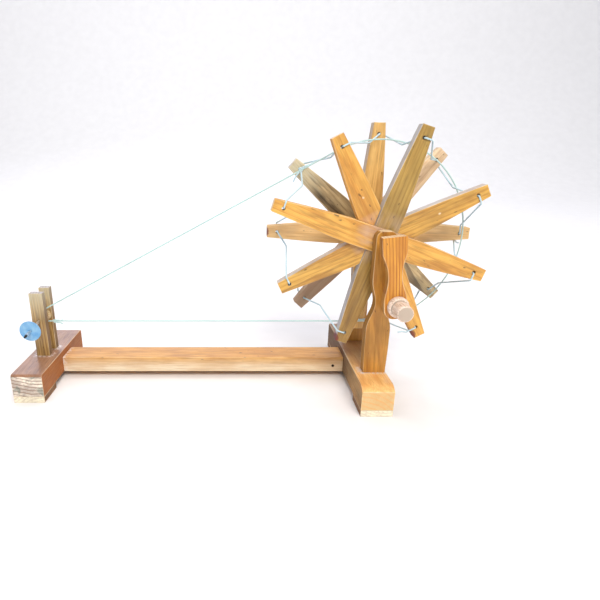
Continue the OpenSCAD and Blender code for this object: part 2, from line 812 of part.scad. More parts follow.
module spindle() {
  color("silver") set_down() on_spindle() {
    translate([0, -spindle_front - tip_out + point_len, 0]) {
      along_y(spindle_front + tip_out - point_len + spindle_back, spindle_d);
      rotate([90, 0, 0]) cylinder(h = point_len, d1 = spindle_d, d2 = point_tip_d);
    }
  }
}

// Small pulley between the posts, glued to the spindle
module whorl() {
  half = post_gap / 2 - whorl_play;
  color("bisque") set_down() on_spindle() rotate([-90, 0, 0]) rotate_extrude()
    polygon([
      [spindle_d / 2 + glue_fit, -half], [whorl_rim_d / 2, -half], [whorl_rim_d / 2, whorl_rim_t - half],
      [whorl_d / 2, whorl_rim_t - half], [whorl_d / 2, half - whorl_rim_t],
      [whorl_rim_d / 2, half - whorl_rim_t], [whorl_rim_d / 2, half], [spindle_d / 2 + glue_fit, half]
    ]);
}

module spindle_disc() {
  color("cornflowerblue") set_down() on_spindle() translate([0, -spindle_front, 0]) difference() {
    along_y(disc_t, disc_d);
    translate([0, -cut, 0]) along_y(disc_t + 2 * cut, spindle_d + 2 * glue_fit);
  }
}

left_foot();
right_foot();
left_front_pad();
left_rear_pad();
right_front_pad();
right_rear_pad();
rail();
rail_nails();
front_post();
rear_post();
front_upright();
rear_upright();
axle();
hub();
front_washer();
rear_washer();
front_blade_1();
front_blade_2();
front_blade_3();
front_blade_4();
rear_blade_1();
rear_blade_2();
rear_blade_3();
rear_blade_4();
rim_cord();
rim_cord_knot();
crank_arm();
crank_grip();
spindle();
whorl();
spindle_disc();
drive_band();
drive_band_knot();
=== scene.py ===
"""Looks for a small hand-made spinning wheel: varnished softwood, cotton cord, wire and a blue disc."""

import json
import math

import bmesh
import bpy
from mathutils import Euler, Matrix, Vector


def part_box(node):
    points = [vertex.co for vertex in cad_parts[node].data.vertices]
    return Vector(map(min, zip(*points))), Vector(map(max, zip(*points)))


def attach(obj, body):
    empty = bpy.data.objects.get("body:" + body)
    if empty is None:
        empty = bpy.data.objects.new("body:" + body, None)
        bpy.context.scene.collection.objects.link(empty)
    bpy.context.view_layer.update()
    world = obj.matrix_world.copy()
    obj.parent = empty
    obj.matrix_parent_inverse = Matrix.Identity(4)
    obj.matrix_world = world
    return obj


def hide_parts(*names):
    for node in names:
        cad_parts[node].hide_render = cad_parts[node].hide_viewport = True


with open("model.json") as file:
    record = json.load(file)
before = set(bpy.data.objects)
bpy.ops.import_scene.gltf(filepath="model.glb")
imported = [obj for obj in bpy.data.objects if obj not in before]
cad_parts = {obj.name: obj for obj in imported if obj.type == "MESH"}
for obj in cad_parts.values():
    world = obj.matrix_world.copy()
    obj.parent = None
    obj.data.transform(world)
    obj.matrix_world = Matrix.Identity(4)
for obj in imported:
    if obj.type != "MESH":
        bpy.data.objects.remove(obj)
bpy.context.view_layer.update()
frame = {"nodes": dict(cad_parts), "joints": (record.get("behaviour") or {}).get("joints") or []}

MM = 0.001

# Where the wheel and the spindle turn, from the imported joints
JOINTS = {joint["name"]: joint for joint in frame["joints"]}
AXLE = Vector(JOINTS["wheel_spin"]["pos_m"])
SPINDLE = Vector(JOINTS["spindle_spin"]["pos_m"])

# Turns of the blades in degrees, foremost first, as the solids have them
FRONT_TURNS = (-17.9, 72.4, 25.9, 117.0)
REAR_TURNS = (-0.5, 88.5, 48.5, 139.8)
ARM_TURN = -83.6

# How far the blades reach at the turned and at the opposite end, and their widths, as the solids have them
REACH = 76.8 * MM
FRONT_REACHES = ((REACH, REACH + 2.6 * MM), (REACH, REACH), (REACH, REACH),
                 (REACH - 1.3 * MM, REACH + 1.3 * MM))
REAR_REACHES = ((REACH, REACH),) * 4
BLADE_FULL, BLADE_HUB_W, BLADE_TIP_W, BLADE_BEND = 24 * MM, 16.4 * MM, 8.4 * MM, 1.2

# The lacing's holes and the cord
HOLE_INSET = 7.6 * MM
HOLE_ASIDE = 0.5 * MM
CORD_D = 1.3 * MM
CORD_LIFT = CORD_D / 2 + 0.15 * MM
PRESSED_R = 63.6 * MM


def turned_dir(degrees):
    return Vector((math.cos(math.radians(degrees)), 0, math.sin(math.radians(degrees))))


def on_wheel(radius, degrees, clockwise, y):
    """A point at that radius and turn on the wheel, moved clockwise as seen from the front, at depth y."""
    out, aside = turned_dir(degrees), turned_dir(degrees - 90)
    return Vector((AXLE.x, y, AXLE.z)) + radius * out + clockwise * aside


# Camera
# The photograph's view, solved from the object's corners
CAMERA_AT = (-5.97 * MM, -404.28 * MM, 174.06 * MM)
CAMERA_DOWN = 21.483
CAMERA_LENS = 32.315
CAMERA_SHIFT = (0.104, 0.1004)


def place_camera():
    data = bpy.data.cameras.new("photo_view")
    data.lens = CAMERA_LENS
    data.sensor_width = 36.0
    data.shift_x, data.shift_y = CAMERA_SHIFT
    data.clip_start = 0.01
    data.clip_end = 20.0
    camera = bpy.data.objects.new("photo_view", data)
    camera.location = CAMERA_AT
    camera.rotation_euler = Euler((math.radians(90 - CAMERA_DOWN), 0, 0))
    bpy.context.scene.collection.objects.link(camera)
    bpy.context.scene.camera = camera


place_camera()
bpy.context.scene.view_settings.view_transform = "Standard"


# Node helpers
def linear(hex_colour):
    """An sRGB hex colour as the linear colour that the shaders take."""
    channels = [int(hex_colour[i:i + 2], 16) / 255 for i in (1, 3, 5)]
    return tuple(c / 12.92 if c <= 0.04045 else ((c + 0.055) / 1.055) ** 2.4 for c in channels) + (1.0,)


def add(tree, kind, links=None, values=None, **settings):
    """Adds a node with its settings, its sockets' values and the links that come into it."""
    node = tree.nodes.new(kind)
    for name, value in settings.items():
        setattr(node, name, value)
    for socket, value in (values or {}).items():
        node.inputs[socket].default_value = value
    for socket, source in (links or {}).items():
        tree.links.new(source, node.inputs[socket])
    return node


def colour_steps(tree, factor, steps, interpolation="LINEAR"):
    """A colour ramp over a factor; steps are (place, hex colour)."""
    ramp = add(tree, "ShaderNodeValToRGB", {"Fac": factor})
    ramp.color_ramp.interpolation = interpolation
    elements = ramp.color_ramp.elements
    while len(elements) < len(steps):
        elements.new(0.5)
    for element, (place, colour) in zip(elements, steps):
        element.position = place
        element.color = linear(colour)
    return ramp.outputs["Color"]


def mixed(tree, factor, first, second, blend="MIX"):
    """Two colours mixed by a factor; factor and second may be a socket or a value."""
    node = add(tree, "ShaderNodeMix", data_type="RGBA", blend_type=blend, clamp_factor=True)
    for index, source in ((0, factor), (6, first), (7, second)):
        if isinstance(source, bpy.types.NodeSocket):
            tree.links.new(source, node.inputs[index])
        else:
            node.inputs[index].default_value = source
    return node.outputs[2]


def stretched(tree, value, low, high, to_low, to_high):
    """A value moved from one range to another, and held inside it."""
    node = add(tree, "ShaderNodeMapRange", {"Value": value}, {1: low, 2: high, 3: to_low, 4: to_high})
    return node.outputs["Result"]


def times(tree, first, second):
    """The product of two values."""
    return add(tree, "ShaderNodeMath", {0: first, 1: second}, operation="MULTIPLY").outputs[0]


def drawn_out(tree, place, share):
    """Coordinates with z shrunk to a share, so that patterns run on along it."""
    return add(tree, "ShaderNodeMapping", {"Vector": place}, {"Scale": (1, 1, share)}).outputs[0]


def noise(tree, place, size_mm, detail, roughness=0.5, distortion=0.0, output="Fac"):
    """Soft noise with features of about that size."""
    return add(tree, "ShaderNodeTexNoise", {"Vector": place}, {
        "Scale": per_metre(size_mm), "Detail": detail, "Roughness": roughness, "Distortion": distortion,
    }).outputs[output]


def new_material(name):
    material = bpy.data.materials.new(name)
    material.use_nodes = True
    material.node_tree.nodes.clear()
    return material, material.node_tree


def finished(tree, shader):
    add(tree, "ShaderNodeOutputMaterial", {"Surface": shader.outputs[0]})


def per_metre(size_mm):
    """Texture scale that gives features of a size in millimetres."""
    return 1000 / size_mm


def ring_scale(spacing_mm):
    """Scale of the wave texture that puts growth rings that far apart: it turns 20 radians a unit."""
    return 2 * math.pi / (20 * spacing_mm * MM)


def away_from(tree, place, node):
    """How far a place lies outside a piece's box, in metres."""
    low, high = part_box(node)
    from_middle = add(tree, "ShaderNodeVectorMath", {0: place}, {1: (low + high) / 2}, operation="SUBTRACT")
    on_one_side = add(tree, "ShaderNodeVectorMath", {0: from_middle.outputs[0]}, operation="ABSOLUTE")
    beyond = add(tree, "ShaderNodeVectorMath", {0: on_one_side.outputs[0]}, {1: (high - low) / 2},
                 operation="SUBTRACT")
    outside = add(tree, "ShaderNodeVectorMath", {0: beyond.outputs[0]}, {1: (0, 0, 0)}, operation="MAXIMUM")
    return add(tree, "ShaderNodeVectorMath", {0: outside.outputs[0]}, operation="LENGTH").outputs["Value"]


# Materials
def varnished_softwood(name, early, late, shade, ring_mm=2.4, contrast=0.5, ends="#E3CFA6", gloss=0.4,
                       bleached=None, darker=None, faded=None, pale_near_hub=0.0, streaky=0.6, end_rings=0.4,
                       sides=None, glue_near=(), grey_end=0.0, spots=()):
    """Pine or a like softwood, sawn, sanded by hand and brushed with clear varnish.

    The pale early wood darkens to a narrow late-wood line in each growth ring, then starts pale again.
    Varnish lies over it in a thin uneven coat that mirrors the sky on faces seen at a slant. The
    board's own coordinates are in the attribute grain, in metres, with z along the fibres and the pith
    at x = y = 0. bleached is a height range, in millimetres, below which the front face has lost its
    varnish and faded. darker is the range along the board over which painted shade darkens it, the
    tone it goes to and how much of it; faded is a range over which it has gone grey. pale_near_hub is
    how much of the wood near the middle of a blade is clouded pale pink, streaky how dark its streaks
    are and end_rings how plainly the rings show on its sawn ends. sides is a tone painted on the
    board's narrow sides and how much of it shows: painted shade where the tone is dark, a painted
    reflection of the sky where it is pale. glue_near names pieces with squeezed-out glue round them,
    grey_end is how much the sawn ends have gone grey, and spots are (point on the wheel, radius, tone)
    of dabs of paint and of painted glints."""
    material, tree = new_material(name)
    board = add(tree, "ShaderNodeAttribute", attribute_name="grain").outputs["Vector"]
    sway = noise(tree, drawn_out(tree, board, 0.3), 26, 2.0, output="Color")
    swayed = add(tree, "ShaderNodeVectorMath", {0: sway, 2: board}, {1: (5 * MM, 5 * MM, 0)},
                 operation="MULTIPLY_ADD").outputs[0]
    rings = add(tree, "ShaderNodeTexWave", {"Vector": drawn_out(tree, swayed, 0.07)}, {
        "Scale": ring_scale(ring_mm), "Distortion": 5.0, "Detail": 3.0, "Detail Scale": 0.25,
        "Detail Roughness": 0.6,
    }, wave_type="RINGS", rings_direction="Z", wave_profile="SAW").outputs["Fac"]
    fibre = noise(tree, drawn_out(tree, board, 0.035), 0.8, 5.0, 0.65)
    streaks = noise(tree, drawn_out(tree, board, 0.09), 3.2, 4.0, 0.6)
    clouds = noise(tree, drawn_out(tree, board, 0.4), 12, 3.0, 0.55)
    specks = noise(tree, drawn_out(tree, board, 0.4), 2.1, 1.0)
    patches = noise(tree, drawn_out(tree, swayed, 0.25), 8, 3.0, 0.5, 0.6)

    wood = colour_steps(tree, rings, [(0.0, early), (0.45, early), (0.82, late), (0.94, late), (1.0, early)])
    wood = mixed(tree, 1.0 - contrast, wood, linear(early))
    wood = mixed(tree, stretched(tree, patches, 0.46, 0.7, 0.0, 0.5), wood, linear(late))
    fibre_tone = colour_steps(tree, fibre, [(0.3, "#C09A66"), (0.5, "#F4E6D0"), (0.72, "#FFFFFF")])
    wood = mixed(tree, 0.6, wood, fibre_tone, "MULTIPLY")
    wood = mixed(tree, stretched(tree, streaks, 0.52, 0.7, 0.0, streaky), wood, linear(shade))
    wood = mixed(tree, stretched(tree, clouds, 0.45, 0.72, 0.0, 0.6), wood, linear(shade))
    wood = mixed(tree, stretched(tree, specks, 0.73, 0.77, 0.0, 0.7), wood, linear("#4A2A12"))
    if bleached:
        coords = add(tree, "ShaderNodeTexCoord").outputs
        height = add(tree, "ShaderNodeSeparateXYZ", {0: coords["Object"]}).outputs["Z"]
        forward = add(tree, "ShaderNodeSeparateXYZ", {0: coords["Normal"]}).outputs["Y"]
        low = stretched(tree, height, bleached[0] * MM, bleached[1] * MM, 1.0, 0.15)
        patchy = stretched(tree, clouds, 0.4, 0.62, 1.0, 0.7)
        front = stretched(tree, forward, -0.9, -0.5, 1.0, 0.0)
        bare = times(tree, times(tree, low, patchy), front)
        grey_wood = mixed(tree, 0.55, linear("#E8DCC6"), fibre_tone, "MULTIPLY")
        wood = mixed(tree, bare, wood, grey_wood)
    along = add(tree, "ShaderNodeSeparateXYZ", {0: board}).outputs["Z"]
    # Painted shade: the board darkens along its length towards the given tone
    if darker:
        painted_shade_share = stretched(tree, along, darker[0] * MM, darker[1] * MM, 0.0, darker[3])
        wood = mixed(tree, painted_shade_share, wood, linear(darker[2]))
    if faded:
        grey = mixed(tree, 0.6, linear("#CECEBA"), fibre_tone, "MULTIPLY")
        wood = mixed(tree, stretched(tree, along, faded[0] * MM, faded[1] * MM, 0.0, 0.75), wood, grey)
    # Pale pink clouding near the middle of a blade
    if pale_near_hub:
        from_hub = add(tree, "ShaderNodeMath", {0: along}, operation="ABSOLUTE").outputs[0]
        near_hub = stretched(tree, from_hub, 13 * MM, 21 * MM, pale_near_hub, 0.0)
        pale_cloud = times(tree, near_hub, stretched(tree, clouds, 0.46, 0.58, 0.0, 1.0))
        wood = mixed(tree, pale_cloud, wood, linear("#D8C4BC"))
    side = add(tree, "ShaderNodeAttribute", attribute_name="side").outputs["Fac"]
    # Painted light on the narrow sides: a dark tone stands in for shade, a pale cold one for the sky's
    # reflection
    if sides:
        painted_side_tone = mixed(tree, 0.5, linear(sides[0]), fibre_tone, "MULTIPLY")
        painted_side_share = stretched(tree, clouds, 0.3, 0.65, sides[1], 0.6 * sides[1])
        wood = mixed(tree, times(tree, side, painted_side_share), wood, painted_side_tone)
    if glue_near:
        place = add(tree, "ShaderNodeTexCoord").outputs["Object"]
        crumbs = stretched(tree, noise(tree, place, 1.8, 3.0, 0.7), 0.44, 0.54, 0.0, 0.9)
        if sides:
            crumbs = times(tree, crumbs, stretched(tree, side, 0.0, 1.0, 1.0, 0.0))
        for node in glue_near:
            rim = stretched(tree, away_from(tree, place, node), 0.6 * MM, 4.0 * MM, 1.0, 0.0)
            wood = mixed(tree, times(tree, rim, crumbs), wood, linear("#E6DCD8"))

    # Sawn ends drink the varnish unevenly and stay pale between the rings; eased edges are lighter, partly
    # from wear and partly a painted highlight
    end = add(tree, "ShaderNodeAttribute", attribute_name="end").outputs["Fac"]
    end_tone = colour_steps(tree, rings, [(0.0, ends), (0.6, ends), (0.86, late), (0.95, late), (1.0, ends)])
    end_tone = mixed(tree, 1.0 - end_rings, end_tone, linear(ends))
    rough_cut = noise(tree, board, 1.6, 5.0, 0.7)
    end_tone = mixed(tree, stretched(tree, rough_cut, 0.5, 0.68, 0.0, 0.35), end_tone, linear(late))
    end_dirt = stretched(tree, clouds, 0.45, 0.65, 0.0, end_rings * 0.7)
    end_tone = mixed(tree, end_dirt, end_tone, linear(shade))
    if grey_end:
        greyed = stretched(tree, patches, 0.53, 0.6, 0.0, grey_end)
        end_tone = mixed(tree, greyed, end_tone, mixed(tree, 0.8, linear("#9CA8A2"), end_tone, "MULTIPLY"))
    wood = mixed(tree, end, wood, end_tone)
    eased_edge = add(tree, "ShaderNodeAttribute", attribute_name="eased_edge").outputs["Fac"]
    edge_wear_and_highlight = times(tree, eased_edge, stretched(tree, clouds, 0.35, 0.6, 0.6, 0.1))
    wood = mixed(tree, edge_wear_and_highlight, wood, linear("#EFD9B0"))
    # Dabs of dark red paint, and small pale spots that are painted glints
    for middle, radius, tone in spots:
        place = add(tree, "ShaderNodeTexCoord").outputs["Object"]
        flat = add(tree, "ShaderNodeVectorMath", {0: place}, {1: (1, 0, 1)}, operation="MULTIPLY").outputs[0]
        away = add(tree, "ShaderNodeVectorMath", {0: flat}, {1: middle}, operation="DISTANCE")
        ragged = add(tree, "ShaderNodeMath", {0: streaks, 2: away.outputs["Value"]}, {1: 4 * MM},
                     operation="MULTIPLY_ADD").outputs[0]
        dab_and_glint = stretched(tree, ragged, radius + 1.2 * MM, radius + 2.2 * MM, 0.9, 0.0)
        wood = mixed(tree, dab_and_glint, wood, linear(tone))

    relief = mixed(tree, 0.35, add(tree, "ShaderNodeCombineColor", {0: fibre}).outputs[0],
                   add(tree, "ShaderNodeCombineColor", {0: rings}).outputs[0])
    height = add(tree, "ShaderNodeSeparateColor", {0: relief}).outputs[0]
    grooves = add(tree, "ShaderNodeBump", {"Height": height}, {"Strength": 0.5, "Distance": 0.12 * MM})
    sawn = add(tree, "ShaderNodeBump", {"Height": times(tree, rough_cut, end), "Normal": grooves.outputs[0]},
               {"Strength": 0.7, "Distance": 0.4 * MM})
    runs = noise(tree, board, 9, 2.0)
    skin = add(tree, "ShaderNodeBump", {"Height": runs, "Normal": sawn.outputs[0]},
               {"Strength": 0.5, "Distance": 0.6 * MM})
    dull = stretched(tree, fibre, 0.3, 0.7, 0.55, 0.38)
    dull = add(tree, "ShaderNodeMath", {0: side, 2: dull}, {1: 0.4}, operation="MULTIPLY_ADD").outputs[0]
    thirsty = add(tree, "ShaderNodeMath", {0: end, 1: side}, operation="MAXIMUM").outputs[0]
    coat = stretched(tree, thirsty, 0.0, 1.0, gloss, 0.2 * gloss)
    shader = add(tree, "ShaderNodeBsdfPrincipled", {
        "Base Color": wood, "Roughness": dull, "Normal": skin.outputs[0], "Coat Weight": coat,
    }, {"IOR": 1.5, "Coat Roughness": 0.2, "Coat IOR": 1.5})
    finished(tree, shader)
    return material


def turned_beech():
    """Close-grained pale wood, turned and left bare: short flecks along the fibres, faint tool rings."""
    material, tree = new_material("turned_pale_wood")
    board = add(tree, "ShaderNodeAttribute", attribute_name="grain").outputs["Vector"]
    fleck = noise(tree, drawn_out(tree, board, 0.12), 0.9, 4.0, 0.6)
    tool = add(tree, "ShaderNodeTexWave", {"Vector": board}, {"Scale": ring_scale(0.5), "Distortion": 1.0},
               wave_type="BANDS", bands_direction="Z").outputs["Fac"]
    wood = colour_steps(tree, fleck, [(0.28, "#A8886E"), (0.45, "#DEC6B2"), (0.7, "#F4E6DC")])
    end = add(tree, "ShaderNodeAttribute", attribute_name="end").outputs["Fac"]
    wood = mixed(tree, end, wood, linear("#B8A898"))
    bump = add(tree, "ShaderNodeBump", {"Height": tool}, {"Strength": 0.4, "Distance": 0.05 * MM})
    shader = add(tree, "ShaderNodeBsdfPrincipled", {"Base Color": wood, "Normal": bump.outputs[0]},
                 {"Roughness": 0.42, "IOR": 1.5, "Coat Weight": 0.25, "Coat Roughness": 0.25})
    finished(tree, shader)
    return material


def plied_cotton(name, crease_shade, middle, crown_highlight):
    """Bleached and faintly tinted cotton cord, plied: soft, with painted shade in the creases where the
    plies meet and a painted highlight on their crowns.
    """
    material, tree = new_material(name)
    ply = add(tree, "ShaderNodeAttribute", attribute_name="ply").outputs["Fac"]
    place = add(tree, "ShaderNodeTexCoord").outputs["Object"]
    lint = noise(tree, place, 0.35, 3.0, 0.7)
    yarn = colour_steps(tree, ply, [(0.0, crease_shade), (0.45, middle), (1.0, crown_highlight)])
    yarn = mixed(tree, stretched(tree, lint, 0.35, 0.65, 0.35, 0.0), yarn, linear(crease_shade))
    bump = add(tree, "ShaderNodeBump", {"Height": lint}, {"Strength": 0.6, "Distance": 0.05 * MM})
    shader = add(tree, "ShaderNodeBsdfPrincipled", {"Base Color": yarn, "Normal": bump.outputs[0]},
                 {"Roughness": 0.85, "Sheen Weight": 0.4, "Sheen Roughness": 0.5, "Specular IOR Level": 0.3})
    finished(tree, shader)
    return material


def glossy_blue_disc():
    """A glossy light-blue punched disc: a slight haze and fine scuffs."""
    material, tree = new_material("glossy_blue_disc")
    place = add(tree, "ShaderNodeTexCoord").outputs["Object"]
    scuffs = noise(tree, drawn_out(tree, place, 0.15), 0.8, 5.0, 0.7)
    haze = noise(tree, place, 5, 2.0)
    blue = colour_steps(tree, haze, [(0.3, "#64A2D6"), (0.7, "#90C0E2")])
    rough = stretched(tree, scuffs, 0.4, 0.7, 0.26, 0.5)
    bump = add(tree, "ShaderNodeBump", {"Height": scuffs}, {"Strength": 0.15, "Distance": 0.03 * MM})
    shader = add(tree, "ShaderNodeBsdfPrincipled",
                 {"Base Color": blue, "Roughness": rough, "Normal": bump.outputs[0]}, {"IOR": 1.53})
    finished(tree, shader)
    return material


def drawn_steel():
    """Bright drawn wire: fine lengthwise draw lines, a little tarnish and a near-black tip."""
    material, tree = new_material("drawn_steel")
    place = add(tree, "ShaderNodeTexCoord").outputs["Object"]
    lengthwise = add(tree, "ShaderNodeMapping", {"Vector": place}, {"Scale": (1, 0.04, 1)}).outputs[0]
    lines = noise(tree, lengthwise, 0.25, 3.0)
    tarnish = noise(tree, place, 4, 3.0)
    steel = colour_steps(tree, tarnish, [(0.35, "#C4C2BE"), (0.6, "#EDEEEE")])
    tip_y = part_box("spindle")[0].y
    ahead = add(tree, "ShaderNodeSeparateXYZ", {0: place}).outputs["Y"]
    dark_tip_share = stretched(tree, ahead, tip_y + 4 * MM, tip_y + 5 * MM, 0.95, 0.0)
    steel = mixed(tree, dark_tip_share, steel, linear("#15130F"))
    shader = add(tree, "ShaderNodeBsdfPrincipled", {
        "Base Color": steel, "Roughness": stretched(tree, lines, 0.3, 0.7, 0.35, 0.55),
    }, {"Metallic": 1.0})
    finished(tree, shader)
    return material


def dull_iron():
    """Wire nails, punched below the surface and dulled by rust and varnish."""
    material, tree = new_material("dull_iron")
    place = add(tree, "ShaderNodeTexCoord").outputs["Object"]
    rust = noise(tree, place, 0.9, 4.0, 0.7)
    iron = colour_steps(tree, rust, [(0.4, "#241A14"), (0.65, "#4B382C")])
    shader = add(tree, "ShaderNodeBsdfPrincipled", {"Base Color": iron},
                 {"Metallic": 0.6, "Roughness": 0.55})
    finished(tree, shader)
    return material


def cut_hide():
    """Leather, cut into small washers: a fine pebble."""
    material, tree = new_material("cut_hide")
    place = add(tree, "ShaderNodeTexCoord").outputs["Object"]
    cells = add(tree, "ShaderNodeTexVoronoi", {"Vector": place}, {"Scale": per_metre(0.5)})
    pebble = cells.outputs["Distance"]
    hide = colour_steps(tree, pebble, [(0.1, "#3E2413"), (0.6, "#6B4223")])
    bump = add(tree, "ShaderNodeBump", {"Height": pebble}, {"Strength": 0.5, "Distance": 0.08 * MM})
    shader = add(tree, "ShaderNodeBsdfPrincipled", {"Base Color": hide, "Normal": bump.outputs[0]},
                 {"Roughness": 0.7})
    finished(tree, shader)
    return material


# Dark red stain for blade ends, and a pale tone for painted glints
DARK_RED, GLINT_PALE = "#6E1A12", "#F2E2C8"
HALF_TIP = BLADE_TIP_W / 2
DAB_R, GLINT_R = 4.2 * MM, 0.5 * MM
DAB_ASIDE = HALF_TIP + 2 * MM
# A pale cold tone painted on blade sides as the sky's reflection
SIDE_SKY_SHEEN = "#C4D0E2"
# Tones given as sides are painted on the narrow sides: the dark ones stand in for shade, the pale cold ones
# for the sky's reflection
WOODS = {
    "front_1": varnished_softwood("varnished_pine_gold", "#ECBC5C", "#C88026", "#9A6A2C", 3.4, 0.4,
                                  pale_near_hub=0.4, streaky=0.8),
    # front_2: painted shade darkens its lower half; its sides take a painted reflection of the sky
    "front_2": varnished_softwood("varnished_pine_olive", "#BC9E52", "#86641E", "#6A5628", 2.3, 0.4,
                                  pale_near_hub=0.2, streaky=0.8, sides=(SIDE_SKY_SHEEN, 0.9),
                                  darker=(5, -60, "#7C5222", 0.4),
                                  spots=[(on_wheel(REACH - 1 * MM, FRONT_TURNS[1] + 180, DAB_ASIDE, 0),
                                          DAB_R, DARK_RED)]),
    "front_3": varnished_softwood("varnished_pine_tawny", "#DEB458", "#AC6E1E", "#86602A", 3.0, 0.4,
                                  pale_near_hub=0.4, streaky=0.9, sides=(SIDE_SKY_SHEEN, 0.8),
                                  spots=[(on_wheel(42 * MM, FRONT_TURNS[2], 0, 0), GLINT_R, GLINT_PALE)]),
    "front_4": varnished_softwood("varnished_pine_honey", "#EABA5C", "#C27C26", "#A2702E", 3.0, 0.3,
                                  pale_near_hub=0.6,
                                  spots=[(on_wheel(32 * MM, FRONT_TURNS[3], 0, 0), GLINT_R, GLINT_PALE),
                                         (on_wheel(REACH - 2 * MM, FRONT_TURNS[3] + 180, DAB_ASIDE, 0),
                                          DAB_R, DARK_RED)]),
    "rear_1": varnished_softwood("varnished_pine_dusty", "#EACA92", "#C09658", "#B49872", 2.8, 0.3,
                                 spots=[(on_wheel(REACH + 3.2 * MM, REAR_TURNS[0] + 180, 0, 0), 4.6 * MM,
                                         DARK_RED)]),
    "rear_2": varnished_softwood("varnished_pine_plain", "#ECC67C", "#BC8840", "#9C7844", 2.6, 0.35,
                                 sides=("#B0BAC8", 0.7)),
    # rear_3: painted shade darkens its lower left end
    "rear_3": varnished_softwood("varnished_pine_pale", "#F2E0C4", "#CCA878", "#947458", 2.8, 0.25,
                                 darker=(10, -50, "#947458", 0.8)),
    "rear_4": varnished_softwood("varnished_pine_grey", "#DCCCA2", "#6E5E48", "#241F18", 2.2, 0.75,
                                 "#C8C0B4", streaky=1.0, faded=(45, 66)),
    # left_foot: its lilac-grey base tone is dark wood with a painted reflection of the sky on its top
    "left_foot": varnished_softwood("varnished_pine_dark_foot_sky_sheen", "#AE8468", "#7E583C", "#6C4E44", 2.6, 0.4,
                                    "#F6ECDC", 0.45, end_rings=0.8, sides=("#B2660C", 0.85),
                                    glue_near=("front_post", "rear_post"), grey_end=0.8),
    # right_foot: its bright front stands in for a highlight, painted shade darkens it towards the rear, and
    # its dark sides are painted shade
    "right_foot": varnished_softwood("varnished_pine_foot", "#FFD690", "#E89C44", "#D49450", 3.2, 0.3,
                                     "#DCBC86", 0.3, darker=(-46, 0, "#644028", 0.8), end_rings=0.35,
                                     sides=("#4E3C2A", 0.8), glue_near=("front_upright",)),
    "pad": varnished_softwood("varnished_pine_pads", "#A87C50", "#7A5028", "#6A4C34", 2.4, 0.3,
                              "#F2EAD2", 0.2, end_rings=0.2, sides=("#6E5848", 0.6)),
    "rail": varnished_softwood("varnished_pine_rail", "#DEA84E", "#B87828", "#A46C28", 3.4, 0.4, gloss=0.12,
                               bleached=(9, 17), streaky=0.8, glue_near=("left_foot",)),
    "post": varnished_softwood("varnished_pine_posts", "#C4A468", "#7A5626", "#6A5030", 2.2, 0.6, "#BDB8BA",
                               faded=(8, 30), streaky=0.8, sides=("#6E5A4E", 0.6)),
    "upright": varnished_softwood("varnished_pine_uprights", "#D09A42", "#9A5E18", "#8A5E1A", 3.0, 0.35,
                                  "#E8D2AE", 0.25, sides=("#80622E", 0.6)),
    "arm": varnished_softwood("varnished_pine_arm", "#DEA23A", "#AC6418", "#C07E28", 2.1, 0.85,
                              "#E2CCAA", 0.3, sides=("#8A6838", 0.6)),
    "dowel": varnished_softwood("plain_pine_dowel", "#C9A876", "#A07A48", "#947050", 1.6, 0.4, gloss=0.1),
}
GRIP_WOOD = turned_beech()
LACING_CORD = plied_cotton("plied_cotton_blue_white", "#A4CCDC", "#CDE9F4", "#EEFAFF")
BAND_CORD = plied_cotton("plied_cotton_green_white", "#A2CECC", "#C6E6E4", "#E4F6F6")


# Wooden pieces
EASED = 0.4 * MM
# Edges sharper than this, in degrees, are eased
SHARP_ANGLE = 40
# How squarely a face has to look along the fibres to be a sawn end, and across the board to be a side
END_SHARE, SIDE_SHARE = 0.95, 0.55


def eased_mesh(node, radius, keep_longer=0.45 * MM):
    """A merged copy of a node's mesh with its sharp outer edges eased, and the eased faces' numbers."""
    work = bmesh.new()
    work.from_mesh(frame["nodes"][node].data)
    bmesh.ops.remove_doubles(work, verts=work.verts, dist=0.002 * MM)
    bmesh.ops.dissolve_limit(work, angle_limit=math.radians(0.5), verts=work.verts, edges=work.edges)
    sharp = [
        edge for edge in work.edges
        if len(edge.link_faces) == 2 and edge.is_convex
        and edge.calc_face_angle() > math.radians(SHARP_ANGLE) and edge.calc_length() > keep_longer
    ]
    eased = bmesh.ops.bevel(work, geom=sharp, offset=radius, segments=2, profile=0.6, affect="EDGES",
                            clamp_overlap=False)["faces"]
    work.faces.index_update()
    eased = {face.index for face in eased if face.is_valid}
    mesh = bpy.data.meshes.new(node + "_eased")
    work.to_mesh(mesh)
    work.free()
    return mesh, eased


def weigh_normals(piece):
    """Flat faces stay flat and eased edges turn smoothly between them; the result is made plain mesh."""
    piece.data.shade_smooth()
    piece.data.set_sharp_from_angle(angle=math.radians(48))
    weigh = piece.modifiers.new("weigh", "WEIGHTED_NORMAL")
    weigh.keep_sharp = True
    depsgraph = bpy.context.evaluated_depsgraph_get()
    mesh = bpy.data.meshes.new_from_object(piece.evaluated_get(depsgraph), depsgraph=depsgraph)
    piece.modifiers.clear()
    piece.data = mesh


def new_piece(name, mesh):
    piece = bpy.data.objects.new(name, mesh)
    bpy.context.scene.collection.objects.link(piece)
    return piece


